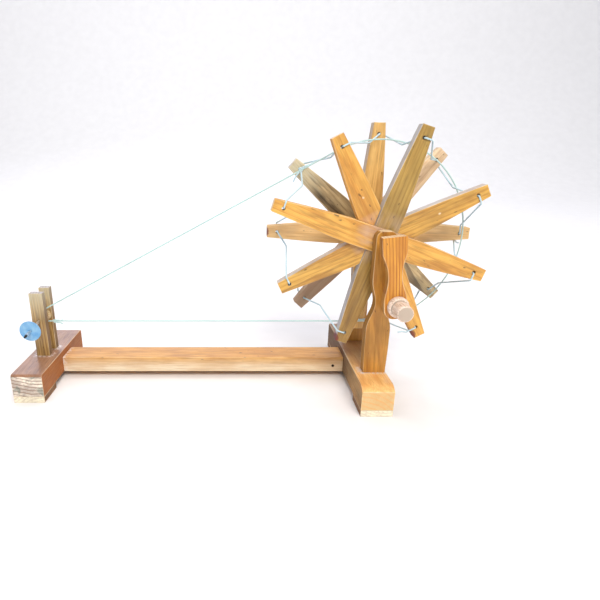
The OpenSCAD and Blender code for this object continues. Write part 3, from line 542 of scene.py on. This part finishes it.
def wooden(node, along, across, pith, material, tilt=0.02, radius=EASED, origin=None):
    """A wooden piece cut from a board: along is the fibres' direction and across a direction over the face.

    pith is where the tree's middle lies from the piece's own middle, in millimetres across and through the
    face, and tilt is how much the fibres run out."""
    mesh, eased = eased_mesh(node, radius)
    low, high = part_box(node)
    middle = origin or (low + high) / 2
    along = Vector(along).normalized()
    across = Vector(across).normalized()
    through = along.cross(across)
    grain = mesh.attributes.new("grain", "FLOAT_VECTOR", "POINT")
    for vertex in mesh.vertices:
        away = vertex.co - middle
        length = away.dot(along)
        grain.data[vertex.index].vector = (
            away.dot(across) - pith[0] * MM + tilt * length,
            away.dot(through) - pith[1] * MM + 0.6 * tilt * length,
            length,
        )
    marks = ("eased_edge", "end", "side")
    for mark in marks:
        mesh.attributes.new(mark, "FLOAT", "FACE")
    eased_edge, end, side = (mesh.attributes[mark] for mark in marks)
    for face in mesh.polygons:
        eased_edge.data[face.index].value = 1.0 if face.index in eased else 0.0
        is_end = abs(face.normal.dot(along)) > END_SHARE
        is_side = abs(face.normal.dot(across)) > SIDE_SHARE and not is_end
        end.data[face.index].value = 1.0 if is_end else 0.0
        side.data[face.index].value = 1.0 if is_side else 0.0
    piece = new_piece(node + "_wood", mesh)
    weigh_normals(piece)
    piece.data.materials.clear()
    piece.data.materials.append(material)
    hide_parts(node)
    return piece


X, Y, Z = Vector((1, 0, 0)), Vector((0, 1, 0)), Vector((0, 0, 1))

FRAME_BOARDS = [
    ("left_foot", Y, X, (6, -44), "left_foot", "foot_wood", 0.05),
    ("right_foot", Y, X, (-14, 34), "right_foot", "foot_wood", 0.03),
    ("left_front_pad", Y, X, (14, 27), "pad", "pad_wood", 0.02),
    ("left_rear_pad", Y, X, (-11, 29), "pad", "pad_wood", 0.02),
    ("right_front_pad", Y, X, (9, -32), "pad", "pad_wood", 0.02),
    ("right_rear_pad", Y, X, (-14, 26), "pad", "pad_wood", 0.02),
    ("rail", X, Y, (46, 12), "rail", "rail_wood", 0.012),
    ("front_post", Z, X, (31, 5), "post", "post_wood", 0.02),
    ("rear_post", Z, X, (26, 12), "post", "post_wood", 0.03),
    ("front_upright", Z, X, (12, 32), "upright", "upright_wood", 0.04),
    ("rear_upright", Z, X, (14, -28), "upright", "upright_wood", 0.03),
]
# The tree's middle and the fibres' run-out for each blade, in the order of the turns
FRONT_BOARDS = [((8, 36), 0.06), ((40, 9), 0.015), ((12, 30), 0.035), ((15, 40), -0.04)]
REAR_BOARDS = [((9, 34), 0.03), ((22, 22), 0.02), ((14, 36), -0.03), ((7, 28), 0.05)]


def dress_frame():
    for node, along, across, pith, wood, slot, tilt in FRAME_BOARDS:
        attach(wooden(node, along, across, pith, WOODS[wood], tilt), "frame")


def dress_blades():
    for which, turns, boards in (("front", FRONT_TURNS, FRONT_BOARDS), ("rear", REAR_TURNS, REAR_BOARDS)):
        for i, (turn, (pith, tilt)) in enumerate(zip(turns, boards), 1):
            node = f"{which}_blade_{i}"
            piece = wooden(node, turned_dir(turn), turned_dir(turn + 90), pith, WOODS[f"{which}_{i}"],
                           tilt, origin=Vector((AXLE.x, 0, AXLE.z)))
            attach(piece, "wheel")


def dress_turning():
    arm = wooden("crank_arm", turned_dir(ARM_TURN), turned_dir(ARM_TURN + 90), (70, 4), WOODS["arm"],
                 0.004, radius=0.5 * MM)
    axle = wooden("axle", Y, X, (6, 9), WOODS["dowel"])
    hub = wooden("hub", Y, X, (2, 3), WOODS["dowel"], radius=0.8 * MM)
    grip = wooden("crank_grip", Y, X, (12, 9), GRIP_WOOD, radius=0.7 * MM)
    for piece in (arm, axle, hub, grip):
        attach(piece, "wheel")
    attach(wooden("whorl", Y, X, (9, 9), WOODS["dowel"], radius=0.3 * MM), "spindle")


# Cords
PLIES = 3
KNOT_STEPS = 60
CORNER_R, CORD_STEP = 0.7 * MM, 0.45 * MM


def plied_cord_tree():
    """A cord laid along a curve: a lobed section that turns once in each lay, with its plies marked."""
    tree = bpy.data.node_groups.new("plied_cord", "GeometryNodeTree")
    for name, kind in (("Route", "Geometry"), ("Diameter", "Float"), ("Lay", "Float"),
                       ("Corner radius", "Float"), ("Step", "Float"), ("Material", "Material")):
        tree.interface.new_socket(name, in_out="INPUT", socket_type="NodeSocket" + kind)
    tree.interface.new_socket("Cord", in_out="OUTPUT", socket_type="NodeSocketGeometry")
    given = add(tree, "NodeGroupInput").outputs
    rounded = add(tree, "GeometryNodeFilletCurve",
                  {"Curve": given["Route"], "Radius": given["Corner radius"]}, {"Count": 4}, mode="POLY")
    even = add(tree, "GeometryNodeResampleCurve", {"Curve": rounded.outputs[0], "Length": given["Step"]},
               mode="LENGTH")
    length = add(tree, "GeometryNodeSplineParameter").outputs["Length"]
    laid = add(tree, "ShaderNodeMath", {0: length, 1: given["Lay"]}, operation="DIVIDE").outputs[0]
    turned = add(tree, "ShaderNodeMath", {0: laid}, {1: 2 * math.pi}, operation="MULTIPLY").outputs[0]
    twisted = add(tree, "GeometryNodeSetCurveTilt", {"Curve": even.outputs[0], "Tilt": turned})

    share = add(tree, "GeometryNodeSplineParameter").outputs["Factor"]
    lobes = add(tree, "ShaderNodeMath", {0: share}, {1: PLIES * 2 * math.pi},
                operation="MULTIPLY").outputs[0]
    wave = add(tree, "ShaderNodeMath", {0: lobes}, operation="COSINE").outputs[0]
    swell = add(tree, "ShaderNodeMath", {0: wave}, {1: 0.13, 2: 0.87}, operation="MULTIPLY_ADD").outputs[0]
    half = add(tree, "ShaderNodeMath", {0: given["Diameter"]}, {1: 0.5}, operation="MULTIPLY").outputs[0]
    circle = add(tree, "GeometryNodeCurvePrimitiveCircle", {"Radius": half}, {"Resolution": 15})
    place = add(tree, "GeometryNodeInputPosition").outputs[0]
    lobed_place = add(tree, "ShaderNodeVectorMath", {0: place, "Scale": swell}, operation="SCALE").outputs[0]
    lobed = add(tree, "GeometryNodeSetPosition", {"Geometry": circle.outputs[0], "Position": lobed_place})
    ply = stretched(tree, wave, -1.0, 1.0, 0.0, 1.0)
    marked = add(tree, "GeometryNodeStoreNamedAttribute", {"Geometry": lobed.outputs[0], "Value": ply},
                 {"Name": "ply"}, data_type="FLOAT", domain="POINT")

    cord = add(tree, "GeometryNodeCurveToMesh",
               {"Curve": twisted.outputs[0], "Profile Curve": marked.outputs[0]}, {"Fill Caps": True})
    smooth = add(tree, "GeometryNodeSetShadeSmooth", {"Geometry": cord.outputs[0]})
    real = add(tree, "GeometryNodeRealizeInstances", {"Geometry": smooth.outputs[0]})
    made = add(tree, "GeometryNodeSetMaterial", {"Geometry": real.outputs[0], "Material": given["Material"]})
    add(tree, "NodeGroupOutput", {"Cord": made.outputs[0]})
    return tree


CORD_TREE = plied_cord_tree()


def cord_piece(name, splines, diameter, lay, material, body, nodes):
    """One mesh piece of plied cord along the splines, each (points, closed), that stands for the nodes."""
    data = bpy.data.curves.new(name + "_route", "CURVE")
    data.dimensions = "3D"
    for points, closed in splines:
        spline = data.splines.new("POLY")
        spline.points.add(len(points) - 1)
        for place, point in zip(spline.points, points):
            place.co = (*point, 1.0)
        spline.use_cyclic_u = closed
    route = bpy.data.objects.new(name + "_route", data)
    bpy.context.scene.collection.objects.link(route)
    modifier = route.modifiers.new("cord", "NODES")
    modifier.node_group = CORD_TREE
    sizes = {"Diameter": diameter, "Lay": lay, "Corner radius": CORNER_R, "Step": CORD_STEP,
             "Material": material}
    for socket in CORD_TREE.interface.items_tree:
        if socket.in_out == "INPUT" and socket.name in sizes:
            modifier[socket.identifier] = sizes[socket.name]
    depsgraph = bpy.context.evaluated_depsgraph_get()
    mesh = bpy.data.meshes.new_from_object(route.evaluated_get(depsgraph), depsgraph=depsgraph)
    bpy.data.objects.remove(route)
    piece = new_piece(name, mesh)
    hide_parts(*nodes)
    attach(piece, body)


# The lacing meets a rear and a front blade in turn, from the rear set's fourth blade clockwise
LACE_ORDER = (("rear", 3), ("front", 3), ("rear", 1), ("front", 1), ("rear", 2), ("front", 2), ("rear", 0),
              ("front", 0))


def lace_station(k):
    """The k-th blade end that the lacing meets: the hole's inner and outer mouth, then the blade's edge."""
    which, i = LACE_ORDER[k % 8]
    rear = which == "rear"
    turn = (REAR_TURNS if rear else FRONT_TURNS)[i] - 180 * (k // 8)
    reach = (REAR_REACHES if rear else FRONT_REACHES)[i][k // 8 % 2]
    low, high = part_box(f"{which}_blade_{i + 1}")
    before, behind = low.y - CORD_LIFT, high.y + CORD_LIFT
    inside, outside = (before, behind) if rear else (behind, before)
    radius = reach - HOLE_INSET
    narrowing = ((radius - BLADE_FULL) / (reach - BLADE_FULL)) ** BLADE_BEND
    half = (BLADE_HUB_W - (BLADE_HUB_W - BLADE_TIP_W) * narrowing) / 2
    return (on_wheel(radius, turn, HOLE_ASIDE, inside), on_wheel(radius, turn, HOLE_ASIDE, outside),
            on_wheel(radius, turn, half + CORD_LIFT, outside))


def knot(middle, size):
    """Points of a closed overhand knot of about that width."""
    points = []
    for step in range(KNOT_STEPS):
        t = 2 * math.pi * step / KNOT_STEPS
        x = math.sin(t) + 2 * math.sin(2 * t)
        y = math.cos(t) - 2 * math.cos(2 * t)
        z = -math.sin(3 * t)
        points.append(middle + size / 6 * Vector((x, 1.1 * z, y)))
    return points


def hub_depth():
    """How deep the middle of the hub lies, where the drive band runs."""
    low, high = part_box("hub")
    return (low.y + high.y) / 2


def pressed(start, end):
    """Where the drive band presses in the stretch of lacing between two points."""
    middle = hub_depth()
    at = start.lerp(end, (middle - start.y) / (end.y - start.y))
    out = Vector((at.x - AXLE.x, 0, at.z - AXLE.z)).normalized()
    return Vector((AXLE.x, middle, AXLE.z)) + PRESSED_R * out


def lacing():
    points = []
    for k in range(16):
        station = lace_station(k)
        points += [*station, pressed(station[2], lace_station(k + 1)[0])]
    splines = [(points, True)]
    # The closing knot on the rear set's fourth blade, its two ends and the loose ends elsewhere
    tie = lace_station(0)[0] + Vector((0, -0.6 * MM, 0))
    splines.append((knot(tie, 3.2 * MM), True))
    tails = [
        (tie, ((0, 0.6, 1), (3.5, -0.4, 2.6), (7.0, -0.4, 3.6), (9.6, -0.6, 5.6))),
        (tie, ((0, 0.6, -1), (-2.6, -0.4, -3.2), (-4.2, -0.4, -5.6), (-5.4, -0.6, -8.6))),
        (lace_station(9)[2], ((0, 0, 0), (-2.4, -0.4, -0.9), (-5.2, -0.4, -0.3), (-8.4, -0.5, -1.0))),
        (lace_station(6)[2], ((0, 0, 0), (-1.6, 0, -0.9), (-3.6, 0.2, -0.3), (-5.4, 0.2, 0.1))),
        (lace_station(6)[2], ((0, 0, 0), (1.3, 0, -1.2), (2.6, -0.2, -2.6), (4.2, -0.2, -2.9))),
    ]
    for start, steps in tails:
        splines.append(([start + MM * Vector(step) for step in steps], False))
    return splines


def band():
    """The drive band's route: round the lacing, down to the whorl, round it and back."""
    low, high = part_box("drive_band")
    wheel_r = high.x - AXLE.x - CORD_D / 2
    whorl_r = SPINDLE.x - low.x - CORD_D / 2
    middle = hub_depth()
    apart = Vector((AXLE.x - SPINDLE.x, AXLE.z - SPINDLE.z))
    lie = math.degrees(math.atan2(apart.y, apart.x))
    flare = math.degrees(math.asin((wheel_r - whorl_r) / apart.length))
    upper, lower = lie + 90 + flare, lie - 90 - flare
    points = []
    for step in range(97):
        turn = upper + (lower - upper) * step / 96
        points.append(Vector((AXLE.x, middle, AXLE.z)) + wheel_r * turned_dir(turn))
    for step in range(25):
        turn = lower + (upper - 360 - lower) * step / 24
        points.append(SPINDLE + whorl_r * turned_dir(turn))
    low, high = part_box("drive_band_knot")
    tie = (low + high) / 2
    ends = [((0, 0), (2.5, 0.9), (4.5, 0.2), (6.5, 1.0)), ((0, 0), (2.0, -1.4), (4.2, -1.2), (6.0, -2.4))]
    splines = [(points, True), (knot(tie, 2.3 * MM), True)]
    for end in ends:
        splines.append(([tie + Vector((x * MM, -0.3 * MM, z * MM)) for x, z in end], False))
    return splines


# Metal, plastic and leather
def repaint(node, material):
    """A node whose shape is right keeps its mesh and takes a better material."""
    mesh = frame["nodes"][node].data
    mesh.materials.clear()
    mesh.materials.append(material)


def dress_small_parts():
    repaint("spindle", drawn_steel())
    repaint("rail_nails", dull_iron())
    hide = cut_hide()
    repaint("front_washer", hide)
    repaint("rear_washer", hide)
    repaint("spindle_disc", glossy_blue_disc())


# Stage
def backdrop():
    """A pale floor that curves up far behind the object."""
    run, bend, rise, half = 1.4, 0.9, 2.2, 4.0
    profile = [(-2.5, 0.0), (run, 0.0)]
    for step in range(1, 13):
        turn = math.radians(90 * step / 12)
        profile.append((run + bend * math.sin(turn), bend * (1 - math.cos(turn))))
    profile.append((run + bend, bend + rise))
    mesh = bpy.data.meshes.new("floor")
    corners = [(side * half, y, z) for y, z in profile for side in (-1, 1)]
    faces = [(2 * i, 2 * i + 1, 2 * i + 3, 2 * i + 2) for i in range(len(profile) - 1)]
    mesh.from_pydata(corners, [], faces)
    mesh.shade_smooth()
    material, tree = new_material("pale_paper_floor")
    place = add(tree, "ShaderNodeTexCoord").outputs["Object"]
    tooth = noise(tree, place, 25, 4.0)
    paper = colour_steps(tree, tooth, [(0.3, "#F1F1F3"), (0.7, "#F5F5F7")])
    finished(tree, add(tree, "ShaderNodeBsdfPrincipled", {"Base Color": paper},
                       {"Roughness": 0.9, "Specular IOR Level": 0.1}))
    mesh.materials.append(material)
    new_piece("floor", mesh)


def soft_light(name, place, target, size, watts, colour):
    data = bpy.data.lights.new(name, "AREA")
    data.shape = "DISK"
    data.size = size
    data.energy = watts
    data.color = linear(colour)[:3]
    light = bpy.data.objects.new(name, data)
    light.location = place
    light.rotation_euler = (Vector(target) - Vector(place)).to_track_quat("-Z", "Y").to_euler()
    bpy.context.scene.collection.objects.link(light)


def light_scene():
    """A soft sky that is brightest overhead, a large lamp in front and a dimmer one behind."""
    world = bpy.data.worlds.new("sky")
    world.use_nodes = True
    tree = world.node_tree
    tree.nodes.clear()
    direction = add(tree, "ShaderNodeTexCoord").outputs["Generated"]
    height = add(tree, "ShaderNodeSeparateXYZ", {0: direction}).outputs["Z"]
    strength = stretched(tree, height, 0.0, 1.0, 0.42, 0.68)
    sky = add(tree, "ShaderNodeBackground", {"Strength": strength}, {"Color": linear("#F6F6FA")})
    add(tree, "ShaderNodeOutputWorld", {"Surface": sky.outputs[0]})
    bpy.context.scene.world = world
    soft_light("front_key", (0.2, -1.05, 1.05), (0, 0, 0.08), 0.7, 16, "#FFF6EA")
    soft_light("sky_behind", (-0.4, 1.3, 1.1), (0, 0, 0.08), 1.4, 6, "#F0ECFF")
    soft_light("backdrop_wash", (0, 0.9, 2.6), (0, 2.4, 0.9), 1.8, 30, "#FFFFFF")


dress_frame()
dress_blades()
dress_turning()
cord_piece("rim_lacing", lacing(), CORD_D, 3.4 * MM, LACING_CORD, "wheel",
           ("rim_cord", "rim_cord_knot"))
cord_piece("drive_band_cord", band(), 1.2 * MM, 3.0 * MM, BAND_CORD, "frame",
           ("drive_band", "drive_band_knot"))
dress_small_parts()
backdrop()
light_scene()
